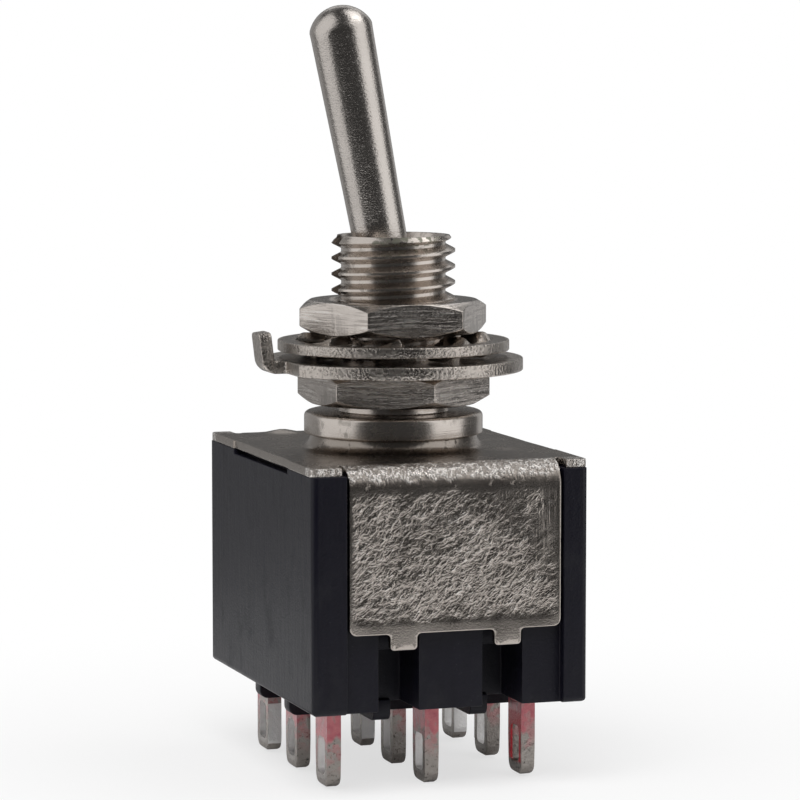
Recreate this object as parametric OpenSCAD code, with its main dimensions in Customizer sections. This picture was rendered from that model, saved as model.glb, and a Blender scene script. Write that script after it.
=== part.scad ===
// Miniature three-pole toggle switch for panel mounting, with nine solder lugs.
// Millimetres. X is the way the lever throws, Y runs along the row of three poles, +Z is up.
// The origin is on the bushing axis, at the top face of its collar.

/* [Lever] */
// Angle from upright at which the lever rests, the same on both sides
throw_angle = 11; // [6:0.5:12]
// Length of the lever above its pivot, without the domed tip
lever_len = 13.72; // [11:0.1:18]
// Diameter of the lever just under the dome
lever_tip_d = 3.0; // [2.6:0.05:3.2]
// Diameter of the lever where it leaves the ball
lever_neck_d = 2.5; // [2.2:0.05:2.7]
// Height of the domed tip
dome_h = 1.03; // [0.6:0.05:1.3]
// Diameter of the pivot ball
ball_d = 3.8; // [3.4:0.05:4.0]
// Diameter of the two side pins of the ball
side_pin_d = 1.0; // [0.7:0.05:1.2]
// Diameter of the hollow shank below the ball
shank_d = 2.7; // [2.4:0.05:2.8]
// Length of the shank below the pivot
shank_len = 5.6; // [5:0.1:6]

/* [Bushing] */
// Outer diameter over the thread crests
thread_d = 5.9; // [5.6:0.05:6.4]
// Depth of the thread, crest to root
thread_depth = 0.46; // [0.3:0.02:0.55]
// Height of the bushing above the collar
bushing_h = 8.4; // [7.5:0.1:10]
// Diameter of the collar
collar_d = 8.54; // [8:0.05:9]
// Thickness of the collar
collar_h = 1.03; // [0.8:0.05:1.5]
// Diameter of the plain neck between the collar and the thread
neck_d = 5.2; // [5.1:0.05:5.4]
// Width of the keyway down the side of the thread
keyway_w = 1.0; // [0.6:0.05:1.4]
// Depth of the keyway
keyway_depth = 0.42; // [0.2:0.02:0.5]
// Height of the lever's pivot above the collar
pivot_z = 4.77; // [4.3:0.01:5.2]

/* [Nuts and washers] */
// Width of both nuts across their flats
nut_af = 8.0; // [7.5:0.1:9]
// Thickness of both nuts
nut_h = 1.55; // [1.2:0.05:2]
// Turn of the lower nut about the bushing
lower_nut_turn = 36.2; // [0:0.1:60]
// Turn of the upper nut about the bushing
upper_nut_turn = 56.7; // [0:0.1:60]
// Bare neck that shows between the collar and the lower nut
neck_gap = 0.42; // [0.2:0.02:0.8]
// Outer diameter of the locating washer
locator_d = 12.38; // [11:0.1:14]
// Thickness of the locating washer
locator_t = 0.6; // [0.4:0.05:0.8]
// Distance from the axis to the flat where the tab leaves the locating washer
locator_flat = 5.55; // [5.2:0.05:5.8]
// Width of the bent-up tab
tab_w = 1.4; // [1:0.05:2.5]
// Height of the tab above the washer's underside
tab_rise = 1.98; // [1.2:0.02:2.5]
// Distance from the axis to the outside of the tab at its foot
tab_reach = 6.72; // [6.5:0.02:7.4]
// Outward lean of the tab
tab_lean = 7; // [0:1:15]
// Outer diameter of the toothed lock washer
lock_d = 11.06; // [10:0.1:12]
// Thickness of the lock washer
lock_t = 0.5; // [0.3:0.05:0.7]
// Radial width of the lock washer's plain ring
lock_ring_w = 0.93; // [0.6:0.05:1.3]
// Number of twisted inner teeth
tooth_count = 8; // [6:1:10]
// Width of a tooth
tooth_w = 1.55; // [1.2:0.05:1.8]
// Twist of a tooth out of the ring's plane
tooth_twist = 30; // [15:1:40]

/* [Cover] */
// Thickness of the sheet
sheet_t = 0.4; // [0.3:0.05:0.6]
// Size of the top plate along X
cover_x = 13.4; // [12.8:0.1:14]
// Size of the top plate along Y
cover_y = 16.78; // [16.4:0.1:17.4]
// Height of the raised boss under the collar
boss_h = 0.63; // [0.4:0.02:0.9]
// Width of the folded front and back flaps
flap_w = 10.3; // [9:0.05:11]
// Sideways offset of the flaps from the bushing axis
flap_shift = 0.24; // [0:0.02:0.3]
// Depth of the flaps below the top plate's upper face
flap_drop = 7.76; // [7:0.05:8.2]
// Outer radius of the flaps' folds
fold_r = 1.1; // [0.7:0.05:1.4]
// Width of the two prongs on each flap
prong_w = 1.3; // [0.8:0.05:1.6]
// Length of the prongs
prong_l = 0.75; // [0.4:0.05:1.2]
// Distance between the two prongs of a flap
prong_pitch = 5.06; // [4:0.05:6]
// Depth of the shallow set-in between the corner tabs at both sides of the plate
side_inset = 0.07; // [0.02:0.01:0.2]
// Length of the corner tab in front of the set-in
side_tab_front = 3.7; // [3:0.1:5]
// Length of the corner tab behind the set-in
side_tab_back = 4.1; // [3:0.1:5]

/* [Case] */
// Outer size of the case along X
case_x = 13.4; // [12.8:0.1:14]
// Outer size of the case along Y
case_y = 17.0; // [16.8:0.1:18]
// Height of the case under the cover
case_h = 11.0; // [10.5:0.1:13]
// Thickness of the case's side walls
wall_x = 1.1; // [0.8:0.05:1.3]
// Thickness of the floor that holds the terminals
floor_t = 3.2; // [2.8:0.1:3.6]
// Width of the grooves that take the prongs
groove_w = 1.95; // [1.6:0.05:2.4]
// Depth of the grooves where the prongs sit
groove_depth = 0.8; // [0.5:0.05:1]
// Depth of the grooves under the prongs
groove_deep = 2.8; // [2:0.1:3]
// Thickness of the walls between the poles
barrier_t = 0.7; // [0.5:0.05:0.9]
// Height of the ribs under the floor that part the lugs
rib_h = 0.9; // [0.5:0.05:1.2]
// Width of those ribs
rib_w = 0.85; // [0.6:0.05:1.2]

/* [Terminals] */
// Distance between lugs along X
pitch_x = 4.8; // [4.7:0.05:5.1]
// Distance between lugs along Y, which is the distance between poles
pitch_y = 4.8; // [4.75:0.05:5]
// Thickness of a lug
lug_t = 0.68; // [0.5:0.02:0.9]
// Width of a lug
lug_w = 1.8; // [1.5:0.05:2]
// Length of an outer lug below the case
lug_l = 3.9; // [3.2:0.1:5]
// Length of a centre lug below the case
centre_lug_l = 4.0; // [3.2:0.1:5]
// Width of the eye in a lug
eye_w = 1.0; // [0.6:0.05:1.2]
// Length of the eye
eye_l = 1.65; // [1.2:0.05:2]
// Distance from the lug's tip to the eye's lower end
eye_lift = 0.62; // [0.4:0.02:1]
// Height of the red sealant that creeps down each lug
seal_h = 0.55; // [0.3:0.05:0.8]

/* [Mechanism] */
// Height of the rocker pivots above the case's floor
rocker_lift = 2.2; // [2:0.05:2.5]
// Turn of a rocker for each degree of the lever
rocker_ratio = 0.8; // [0.7:0.05:0.85]
// Half length of a rocker, to its contacts
arm_len = 4.55; // [4.4:0.05:4.8]
// Width of a rocker blade
blade_w = 2.0; // [1.4:0.05:2.1]
// Thickness of a rocker blade
blade_t = 0.35; // [0.25:0.05:0.45]
// Diameter of a rocker's pivot pin
rocker_pin_d = 0.6; // [0.5:0.05:0.8]
// Radius of the plunger's rounded feet
foot_r = 0.7; // [0.5:0.05:0.8]
// Height of the centre of the plunger's feet above the rocker pivots
foot_lift = 1.22; // [1.1:0.02:1.4]
// Diameter of the plunger's stem
stem_d = 1.6; // [1.3:0.05:1.7]
// Wire diameter of the spring
wire_d = 0.24; // [0.15:0.01:0.3]
// Turns of the spring
spring_turns = 5; // [3:1:7]

/* [Hidden] */
$fn = 64;

// Clearances
fit_gap = 0.02;
run_gap = 0.03;
play = 0.12;
// Overlap where one part of a solid grows out of another, and overshoot of a cut
weld = 0.1;
cut = 1;

// Levels
boss_z = -collar_h;
plate_z = boss_z - boss_h;
case_top = plate_z - sheet_t;
case_bottom = case_top - case_h;
floor_z = case_bottom + floor_t;
rocker_z = floor_z + rocker_lift;

// Stack of nuts and washers on the thread
thread_r = thread_d / 2;
bite_r = thread_r - thread_depth / 2;
lower_nut_z = neck_gap;
locator_z = lower_nut_z + nut_h;
lock_z = locator_z + locator_t;
tooth_h = tooth_w * sin(tooth_twist) + lock_t * cos(tooth_twist);
upper_nut_z = lock_z + tooth_h;
thread_runout = 0.1;
free_thread_z = upper_nut_z + nut_h + thread_runout;
nut_chamfer_angle = 30;

// Bushing's inside and its staked foot
ball_r = ball_d / 2;
seat_r = ball_r + run_gap;
neck_room = 0.37;
throat_r = lever_neck_d / 2 + neck_room;
mouth_chamfer_h = 0.3;
mouth_chamfer_w = 0.25;
rim_chamfer_h = 0.4;
rim_chamfer_w = 0.27;
stake_over = 0.17;
stake_h = 0.3;
foot_wall = 0.68;
foot_bottom = boss_z - sheet_t - stake_h;
skirt_lead = 0.6;
skirt_start = pivot_z - ball_r - skirt_lead;
pin_cover = 0.25;
side_pin_reach = thread_r - thread_depth - pin_cover;

// Lever
neck_r = lever_neck_d / 2;
tip_r = lever_tip_d / 2;
dome_r = (dome_h * dome_h + tip_r * tip_r) / (2 * dome_h);
shank_bore_r = stem_d / 2 + 0.05;
shank_bore_top = 1.3;
// Radius that the tilted lever needs at a height z
function reach_at(z, r) = abs(z - pivot_z) * tan(throw_angle) + r / cos(throw_angle);
function lever_r_at(z) = neck_r + (tip_r - neck_r) * (z - pivot_z) / lever_len;
mouth_r = reach_at(bushing_h, lever_r_at(bushing_h)) + play;
skirt_r = reach_at(foot_bottom + stake_h, shank_d / 2) + play;
spigot_r = skirt_r + foot_wall;
stake_r = spigot_r + stake_over;

// Path of the plunger's feet, seen from a rocker that turns with the lever
pivot_rise = pivot_z - rocker_z;
foot_reach = pivot_rise - foot_lift;
rocker_tilt = rocker_ratio * throw_angle;
function foot_x(t) = foot_reach * sin(t);
function foot_z(t) = pivot_rise - foot_reach * cos(t);
function path_a(t) = foot_x(t) * cos(rocker_ratio * t) - foot_z(t) * sin(rocker_ratio * t);
function path_h(t) = foot_x(t) * sin(rocker_ratio * t) + foot_z(t) * cos(rocker_ratio * t);
path_rise = path_h(throw_angle) - path_h(0);
path_r = (path_a(throw_angle) ^ 2 + path_rise ^ 2) / (2 * path_rise);
trough_r = path_r + foot_r + run_gap;
trough_z = path_h(0) + path_r;
crest_past = 0.45;
crest_a = path_a(throw_angle) + crest_past;
crest_h = trough_z - sqrt(trough_r ^ 2 - crest_a ^ 2);
arm_h = 0.3;
arm_slope_w = 0.75;
arm_past = 0.6;
arm_start = crest_a + arm_slope_w;
arm_end = arm_len + arm_past;

// Contacts
contact_r = 0.7;
contact_drop = 0.45;
dome_sink = 0.12;
touch_x = arm_len * cos(rocker_tilt) - contact_drop * sin(rocker_tilt);
touch_z = rocker_z - arm_len * sin(rocker_tilt) - contact_drop * cos(rocker_tilt) - run_gap;
fixed_head_h = 0.3;
fixed_head_r = 0.85;
fixed_shank_r = 0.35;
pad_t = 0.4;
pad_top = touch_z - fixed_head_h;
pad_w = 2.1;
pad_rim = 0.15;
pad_in = touch_x - fixed_head_r - pad_rim;

// Plunger
bar_over_feet = 3.25;
bar_top = foot_reach - bar_over_feet;
bar_h = 1.3;
bar_w = 2.0;
bar_round = 0.3;
bar_room = 0.55;
foot_w = 1.6;
stem_in_shank = 2.0;
stem_top = shank_len - stem_in_shank;
spring_room = 0.1;

// Case
flap_proud = 0.06;
flap_face_y = cover_y / 2 + flap_proud;
panel_y = flap_face_y - sheet_t - fit_gap;
cavity_x = case_x / 2 - wall_x;
barrier_top = pivot_z - (bar_top + bar_h) - bar_room;
case_corner_r = 0.3;
recess_w = flap_w + 2 * play;
groove_over = 0.8;
groove_top = plate_z - flap_drop + groove_over;
deep_top = plate_z - flap_drop - prong_l - play;
side_gap_h = 0.25;
set_in_l = cover_y - side_tab_front - side_tab_back;
rib_in_x = 0.6;
rib_in_y = 2.98;

// Cheeks of the common terminals
cheek_t = 0.35;
cheek_gap = blade_w / 2 + play;
cheek_rise = 0.25;
cheek_cap = 0.8;
cheek_round = 0.3;
cavity_y = pitch_y + cheek_gap + cheek_t + play;
bracket_half_x = 1.0;
bracket_t = 0.4;

// Both flaps and their grooves are the same, turned half a turn
module both_ends() {
    for (turn = [0, 180]) rotate([0, 0, turn]) children();
}

// Rectangle with true round corners, centred
module round_rect(w, h, r) {
    square([w - 2 * r, h], center = true);
    square([w, h - 2 * r], center = true);
    for (x = [-1, 1], y = [-1, 1])
        translate([x * (w / 2 - r), y * (h / 2 - r)]) circle(r);
}

// Extrudes a profile drawn in X and Z along Y, centred on y = 0
module along_y(length) {
    rotate([90, 0, 0]) linear_extrude(length, center = true) children();
}

// Extrudes a profile drawn in Y and Z along X, centred on x = 0
module along_x(length) {
    rotate([90, 0, 90]) linear_extrude(length, center = true) children();
}

// Puts what is drawn about an upright lever, pivot at the origin, in its resting tilt
module lever_frame() {
    translate([0, 0, pivot_z]) rotate([0, -throw_angle, 0]) children();
}

// Puts what is drawn about a level rocker, pivot at the origin, in its resting tilt
module rocker_frame(pole) {
    translate([0, pole * pitch_y, rocker_z]) rotate([0, rocker_tilt, 0]) children();
}

// ---- Black moulded case: a cup with three chambers on a thick floor ----

module case_outline_block() {
    bottom_r = 0.3;
    intersection() {
        translate([0, 0, case_bottom]) linear_extrude(case_h) round_rect(case_x, case_y, case_corner_r);
        along_y(2 * case_y) translate([0, case_top - case_h / 2 + cut / 2])
            round_rect(case_x, case_h + cut, bottom_r);
        along_x(2 * case_x) translate([0, case_top - case_h / 2 + cut / 2])
            round_rect(case_y, case_h + cut, bottom_r);
    }
}

module prong_grooves() {
    for (side = [-1, 1]) {
        x = flap_shift / 2 + side * prong_pitch / 2 - groove_w / 2;
        translate([x, -panel_y - cut, case_bottom - cut])
            cube([groove_w, groove_depth + cut, groove_top - case_bottom + cut]);
        translate([x, -panel_y - cut, case_bottom - cut])
            cube([groove_w, groove_deep + cut, deep_top - case_bottom + cut]);
    }
}

module flap_recess() {
    translate([flap_shift - recess_w / 2, -case_y / 2 - cut, case_bottom - cut])
        cube([recess_w, case_y / 2 - panel_y + cut, case_h + 2 * cut]);
    // Room for the inside of the fold at the top edge
    translate([flap_shift - recess_w / 2, -panel_y - cut, case_top - fold_r])
        cube([recess_w, fold_r - sheet_t + cut, fold_r + cut]);
}

module lug_ribs() {
    for (row = [-0.5, 0.5])
        translate([0, row * pitch_y, 0]) rib(case_x - 2 * rib_in_x);
    for (column = [-0.5, 0.5])
        translate([column * pitch_x, 0, 0]) rotate([0, 0, 90]) rib(case_y - 2 * rib_in_y);
}

// One rib, its lower corners rounded off
module rib(length) {
    along_y(rib_w) translate([0, case_bottom]) round_rect(length, 2 * rib_h, rib_w / 2 - fit_gap);
}

module case() color([0.11, 0.11, 0.13]) {
    difference() {
        case_outline_block();
        difference() {
            translate([-cavity_x, -cavity_y, floor_z])
                cube([2 * cavity_x, 2 * cavity_y, case_top - floor_z + cut]);
            for (row = [-0.5, 0.5])
                translate([-case_x / 2, row * pitch_y - barrier_t / 2, floor_z - cut])
                    cube([case_x, barrier_t, barrier_top - floor_z + cut]);
        }
        both_ends() {
            flap_recess();
            prong_grooves();
        }
        // Lowered top edge under the set-in sides of the plate
        both_ends()
            translate([-case_x / 2 - cut, -cover_y / 2 + side_tab_front + play, case_top - side_gap_h])
                cube([cut + wall_x / 2, set_in_l - play, side_gap_h + cut]);
        lug_holes();
    }
    difference() {
        lug_ribs();
        translate([-case_x / 2, -case_y / 2, case_bottom + weld]) cube([case_x, case_y, case_h]);
    }
}

module lug_holes() {
    for (column = [-1 : 1], pole = [-1 : 1])
        translate([column * pitch_x, pole * pitch_y, case_bottom - cut])
            linear_extrude(floor_t + 2 * cut)
                square([lug_t + 2 * fit_gap, lug_w + 2 * fit_gap], center = true);
}

// ---- Plated steel cover: top plate with a drawn boss and two folded flaps ----

boss_rim = 0.3;
boss_flare_r = collar_d / 2 - boss_rim + boss_h;

// Half section of the drawn boss, from the hole out to the flat plate
module boss_section(hole_r) {
    difference() {
        translate([hole_r, plate_z - sheet_t]) square([boss_flare_r - hole_r, boss_h + sheet_t]);
        translate([boss_flare_r, boss_z]) circle(boss_h);
        // Hollow underside, a sheet's thickness inside the outer form
        difference() {
            translate([0, plate_z - 2 * sheet_t]) square([boss_flare_r - sheet_t, boss_h + sheet_t]);
            translate([boss_flare_r, boss_z]) circle(boss_h + sheet_t);
        }
    }
}

module plate_outline() {
    corner_r = 0.3;
    notch_w = 0.3;
    difference() {
        round_rect(cover_x, cover_y, corner_r);
        both_ends() {
            // Set-in stretch between the corner tabs
            translate([-cover_x / 2 - cut, -cover_y / 2 + side_tab_front])
                square([cut + side_inset, set_in_l]);
            // Room for the flap's fold, with a relief notch on each side
            translate([flap_shift - flap_w / 2 - notch_w, -cover_y / 2 - cut])
                square([flap_w + 2 * notch_w, cut + fold_r - flap_proud]);
        }
    }
}

// Flap seen from the front, from the fold's lower end to the prongs' tips
module flap_outline() {
    bottom = plate_z - flap_drop;
    top = plate_z - fold_r;
    corner_r = 0.35;
    root_r = 0.2;
    prong_r = 0.18;
    translate([0, (top + bottom) / 2]) round_rect(flap_w, top - bottom, corner_r);
    translate([-flap_w / 2, top - 2 * corner_r]) square([flap_w, 2 * corner_r]);
    for (side = [-1, 1]) translate([side * prong_pitch / 2, bottom]) {
        translate([0, -prong_l / 2]) round_rect(prong_w, prong_l, prong_r);
        translate([-prong_w / 2, -prong_l / 2]) square([prong_w, prong_l / 2 + corner_r]);
        for (edge = [-1, 1]) difference() {
            translate([edge * prong_w / 2 - root_r * (1 - edge) / 2, -root_r])
                square([root_r, root_r + weld]);
            translate([edge * (prong_w / 2 + root_r), -root_r]) circle(root_r);
        }
    }
}

module flap() {
    translate([flap_shift, 0, 0]) {
        translate([0, -flap_face_y + sheet_t / 2, 0]) along_y(sheet_t) flap_outline();
        along_x(flap_w) difference() {
            translate([-flap_face_y, plate_z - fold_r]) square([fold_r, fold_r]);
            translate([-flap_face_y, plate_z - 2 * fold_r]) square([2 * fold_r, fold_r]);
            difference() {
                translate([-flap_face_y - cut, plate_z - fold_r]) square([fold_r + cut, fold_r + cut]);
                translate([-flap_face_y + fold_r, plate_z - fold_r]) circle(fold_r);
            }
            translate([-flap_face_y + fold_r, plate_z - fold_r]) circle(fold_r - sheet_t);
        }
    }
}

module cover() color([0.62, 0.60, 0.57]) {
    dent_r = 6;
    dent_depth = 0.08;
    dent_at = [cover_x / 2 - 2.05, -cover_y / 2 + 5];
    swell_r = 2.2;
    swell_h = 0.24;
    swell_at = [-cover_x / 2 + 3.15, cover_y / 2 - 1.7];
    difference() {
        translate([0, 0, plate_z - sheet_t]) linear_extrude(sheet_t) plate_outline();
        translate([0, 0, plate_z - sheet_t - cut]) cylinder(sheet_t + 2 * cut, r = boss_flare_r - weld);
        // Shallow dent near the front right corner
        translate([dent_at.x, dent_at.y, plate_z + dent_r - dent_depth]) sphere(dent_r);
    }
    rotate_extrude() boss_section(spigot_r + fit_gap);
    both_ends() flap();
    // Low swelling on the back fold
    intersection() {
        translate([swell_at.x, swell_at.y, plate_z + swell_h - swell_r]) sphere(swell_r);
        translate([swell_at.x, swell_at.y, plate_z - weld]) cylinder(cut, r = swell_r);
    }
}

// ---- Turned bushing: thread, collar and staked foot round the lever's ball seat ----

module bushing() color([0.66, 0.64, 0.61]) {
    edge = 0.12;
    difference() {
        rotate_extrude() polygon([
            [0, bushing_h],
            [thread_r - rim_chamfer_w, bushing_h],
            [thread_r, bushing_h - rim_chamfer_h],
            [thread_r, free_thread_z],
            [bite_r, free_thread_z - thread_runout / 2],
            [bite_r, neck_gap],
            [neck_d / 2, neck_gap - thread_runout],
            [neck_d / 2, 0],
            [collar_d / 2 - edge, 0],
            [collar_d / 2, -edge],
            [collar_d / 2, boss_z + 2 * edge],
            [collar_d / 2 - 2 * edge, boss_z],
            [spigot_r, boss_z],
            [spigot_r, boss_z - sheet_t],
            [stake_r, boss_z - sheet_t],
            [stake_r, foot_bottom],
            [0, foot_bottom]]);
        lever_way();
        translate([-thread_r - cut, -keyway_w / 2, neck_gap])
            cube([cut + keyway_depth, keyway_w, bushing_h]);
    }
}

// Hollow of the bushing: mouth, throat, ball seat, skirt and the two slots of the side pins
module lever_way() {
    seat_top = pivot_z + sqrt(seat_r ^ 2 - throat_r ^ 2);
    translate([0, 0, pivot_z]) sphere(seat_r);
    rotate_extrude() polygon([
        [0, seat_top - weld],
        [throat_r, seat_top - weld],
        [throat_r, seat_top + weld],
        [mouth_r, bushing_h - mouth_chamfer_h],
        [mouth_r + mouth_chamfer_w, bushing_h],
        [mouth_r + mouth_chamfer_w, bushing_h + cut],
        [0, bushing_h + cut]]);
    rotate_extrude() polygon([
        [0, pivot_z],
        [seat_r, pivot_z],
        [seat_r, skirt_start],
        [skirt_r, foot_bottom + stake_h],
        [skirt_r, foot_bottom - cut],
        [0, foot_bottom - cut]]);
    slot_half = side_pin_d / 2 + run_gap;
    rotate([90, 0, 0]) translate([0, pivot_z, 0])
        cylinder(2 * side_pin_reach + 2 * play, r = slot_half, center = true);
    translate([-slot_half, -side_pin_reach - play, foot_bottom - cut])
        cube([2 * slot_half, 2 * side_pin_reach + 2 * play, pivot_z - foot_bottom + cut]);
}

// ---- Nuts and washers on the thread ----

// Hexagon with chamfered corners on both faces, bored to sit on the thread
module nut() {
    corner_r = nut_af / 2 / cos(30);
    face_r = nut_af / 2 - fit_gap;
    cone_r = corner_r + weld;
    cone_h = (cone_r - face_r) * tan(nut_chamfer_angle);
    difference() {
        intersection() {
            cylinder(nut_h, r = corner_r, $fn = 6);
            rotate_extrude() polygon([
                [0, 0],
                [face_r, 0],
                [cone_r, cone_h],
                [cone_r, nut_h - cone_h],
                [face_r, nut_h],
                [0, nut_h]]);
        }
        translate([0, 0, -cut]) cylinder(nut_h + 2 * cut, r = bite_r + fit_gap);
    }
}

module lower_nut() color([0.60, 0.58, 0.56])
    translate([0, 0, lower_nut_z]) rotate([0, 0, lower_nut_turn]) nut();

module upper_nut() color([0.64, 0.62, 0.60])
    translate([0, 0, upper_nut_z]) rotate([0, 0, upper_nut_turn]) nut();

// Flat ring with a key in the bushing's keyway and a tab bent up for a second panel hole
module locating_washer() color([0.58, 0.56, 0.54]) {
    translate([0, 0, locator_z]) {
        difference() {
            cylinder(locator_t, d = locator_d);
            translate([0, 0, -cut]) cylinder(locator_t + 2 * cut, r = thread_r + play);
            translate([-locator_d / 2 - cut, -locator_d / 2, -cut])
                cube([locator_d / 2 + cut - locator_flat, locator_d, locator_t + 2 * cut]);
        }
        key_w = keyway_w - 2 * play;
        translate([-thread_r - play - weld, -key_w / 2, 0])
            cube([weld + keyway_depth, key_w, locator_t]);
        foot = tab_reach - locator_t / 2;
        translate([-foot, -tab_w / 2, 0]) cube([foot - locator_flat + weld, tab_w, locator_t]);
        intersection() {
            translate([-foot, 0, locator_t / 2]) rotate([0, -tab_lean, 0]) tab();
            translate([-2 * locator_d, -tab_w, 0]) cube([4 * locator_d, 2 * tab_w, 4 * tab_rise]);
        }
    }
}

// Upright part of the tab, bend at the origin
module tab() {
    top_r = 0.25;
    along_y(tab_w) circle(locator_t / 2);
    translate([0, 0, (tab_rise - locator_t / 2) / 2])
        along_x(locator_t) round_rect(tab_w, tab_rise - locator_t / 2, top_r);
    translate([-locator_t / 2, -tab_w / 2, 0]) cube([locator_t, tab_w, tab_rise / 2]);
}

// Ring whose inner teeth are twisted so that their edges bite into what they touch
module lock_washer() color([0.57, 0.55, 0.53]) {
    ring_in = lock_d / 2 - lock_ring_w;
    tooth_in = thread_r + 2 * play;
    mid = lock_z + tooth_h / 2;
    translate([0, 0, mid - lock_t / 2]) difference() {
        cylinder(lock_t, d = lock_d);
        translate([0, 0, -cut]) cylinder(lock_t + 2 * cut, r = ring_in);
    }
    intersection() {
        for (i = [0 : tooth_count - 1])
            rotate([0, 0, (i + 0.5) * 360 / tooth_count]) translate([0, 0, mid])
                rotate([tooth_twist, 0, 0]) translate([tooth_in - cut / 2, -tooth_w / 2, -lock_t / 2])
                    cube([cut / 2 + ring_in - tooth_in + lock_ring_w / 4, tooth_w, lock_t]);
        difference() {
            translate([0, 0, lock_z]) cylinder(tooth_h, d = lock_d);
            translate([0, 0, lock_z - cut]) cylinder(tooth_h + 2 * cut, r = tooth_in);
        }
    }
}

// ---- Lever, its spring and the moulded plunger ----

module lever() color([0.70, 0.68, 0.66]) lever_frame() {
    difference() {
        union() {
            intersection() {
                rotate_extrude() polygon([
                    [0, -shank_len],
                    [shank_d / 2, -shank_len],
                    [shank_d / 2, 0],
                    [neck_r, 0],
                    [tip_r, lever_len],
                    [tip_r, lever_len + dome_h],
                    [0, lever_len + dome_h]]);
                translate([0, 0, lever_len + dome_h - dome_r]) union() {
                    sphere(dome_r);
                    translate([0, 0, -2 * lever_len])
                        cylinder(2 * lever_len + dome_r - dome_h, r = 2 * tip_r);
                }
            }
            sphere(ball_r);
            rotate([90, 0, 0]) cylinder(2 * side_pin_reach, d = side_pin_d, center = true);
        }
        translate([0, 0, -shank_len - cut])
            cylinder(shank_len - shank_bore_top + cut, r = shank_bore_r);
    }
}

// Ring of points round a coil's wire at angle a, at height z
function wire_ring(coil_r, wire_r, sides, a, z) = [
    for (j = [0 : sides - 1])
        let (b = 360 * j / sides, r = coil_r + wire_r * cos(b))
            [r * cos(a), r * sin(a), z + wire_r * sin(b)]];

// Closed helix swept as one mesh
module coil(coil_r, wire_r, height, turns, steps, sides) {
    rings = turns * steps;
    points = [
        for (i = [0 : rings]) each
            wire_ring(coil_r, wire_r, sides, 360 * i / steps, height * i / rings)];
    skin = [
        for (i = [0 : rings - 1], j = [0 : sides - 1])
            let (k = (j + 1) % sides)
                [i * sides + j, (i + 1) * sides + j, (i + 1) * sides + k, i * sides + k]];
    start_cap = [for (j = [0 : sides - 1]) j];
    end_cap = [for (j = [0 : sides - 1]) rings * sides + sides - 1 - j];
    polyhedron(points, concat(skin, [start_cap, end_cap]));
}

module spring() color([0.75, 0.73, 0.68]) lever_frame() {
    coil_r = shank_bore_r - wire_d / 2 - spring_room;
    room = stem_top - shank_bore_top - wire_d - 2 * run_gap;
    translate([0, 0, -stem_top + wire_d / 2 + run_gap])
        coil(coil_r, wire_d / 2, room, spring_turns, 16, 6);
}

module plunger() color([0.88, 0.86, 0.80]) lever_frame() {
    bar_len = 2 * pitch_y + foot_w;
    translate([0, 0, -bar_top - weld]) cylinder(bar_top + weld - stem_top, d = stem_d);
    translate([0, 0, -bar_top - bar_h / 2]) along_y(bar_len) round_rect(bar_w, bar_h, bar_round);
    for (pole = [-1 : 1]) translate([0, pole * pitch_y, -foot_reach]) {
        along_y(foot_w) circle(foot_r);
        translate([-foot_r, -foot_w / 2, 0]) cube([2 * foot_r, foot_w, foot_reach - bar_top - bar_h / 2]);
    }
}

// ---- Rockers: one seesaw contact blade for each pole ----

// Side view of a blade: a trough that the foot rolls in, and an arm at each side
module blade_profile() {
    lip_h = crest_h - 0.1;
    lip_w = 0.12;
    under_lip_h = lip_h - blade_t;
    bend = 0.14;
    difference() {
        translate([0, trough_z]) circle(trough_r + blade_t, $fn = 128);
        translate([0, trough_z]) circle(trough_r, $fn = 128);
        translate([-2 * trough_r, lip_h]) square([4 * trough_r, 4 * trough_r]);
        for (side = [-1, 1])
            translate([side * (crest_a + trough_r) - trough_r, -trough_r])
                square([2 * trough_r, 4 * trough_r]);
    }
    for (side = [-1, 1]) scale([side, 1]) polygon([
        [crest_a - 2 * lip_w, under_lip_h],
        [crest_a - fit_gap, lip_h],
        [crest_a + lip_w, lip_h],
        [arm_start, arm_h],
        [arm_end, arm_h],
        [arm_end, arm_h - blade_t],
        [arm_start - bend, arm_h - blade_t],
        [crest_a + lip_w - bend / 2, under_lip_h]]);
}

module rocker(pole) color([0.80, 0.66, 0.42]) rocker_frame(pole) {
    floor_h = trough_z - trough_r;
    difference() {
        union() {
            along_y(blade_w) blade_profile();
            // Pivot pin under the trough, with a web up to the blade
            rotate([90, 0, 0])
                cylinder(2 * (cheek_gap + cheek_t), d = rocker_pin_d, center = true);
            translate([-rocker_pin_d / 2, -blade_w / 2, 0])
                cube([rocker_pin_d, blade_w, floor_h - blade_t / 2]);
        }
        for (side = [-1, 1]) translate([side * arm_len, 0, arm_h - blade_t - cut])
            cylinder(blade_t + 2 * cut, r = fixed_shank_r + fit_gap);
    }
}

module rocker_front() rocker(-1);
module rocker_middle() rocker(0);
module rocker_back() rocker(1);

// Silver contact buttons riveted through the arms' ends, domed below
module moving_contacts(pole) color([0.86, 0.85, 0.83]) rocker_frame(pole) {
    under = arm_h - blade_t;
    button_h = under + contact_drop;
    dome_radius = (dome_sink ^ 2 + contact_r ^ 2) / (2 * dome_sink);
    rivet_head_h = 0.12;
    rivet_head_r = fixed_shank_r + 0.15;
    for (side = [-1, 1]) translate([side * arm_len, 0, 0]) {
        intersection() {
            translate([0, 0, -contact_drop]) cylinder(button_h, r = contact_r);
            translate([0, 0, -contact_drop + dome_radius]) sphere(dome_radius, $fn = 128);
        }
        translate([0, 0, under - weld]) cylinder(blade_t + weld, r = fixed_shank_r);
        translate([0, 0, arm_h]) cylinder(rivet_head_h, r = rivet_head_r);
    }
}

module moving_contacts_front() moving_contacts(-1);
module moving_contacts_middle() moving_contacts(0);
module moving_contacts_back() moving_contacts(1);

// ---- Terminals ----

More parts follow.
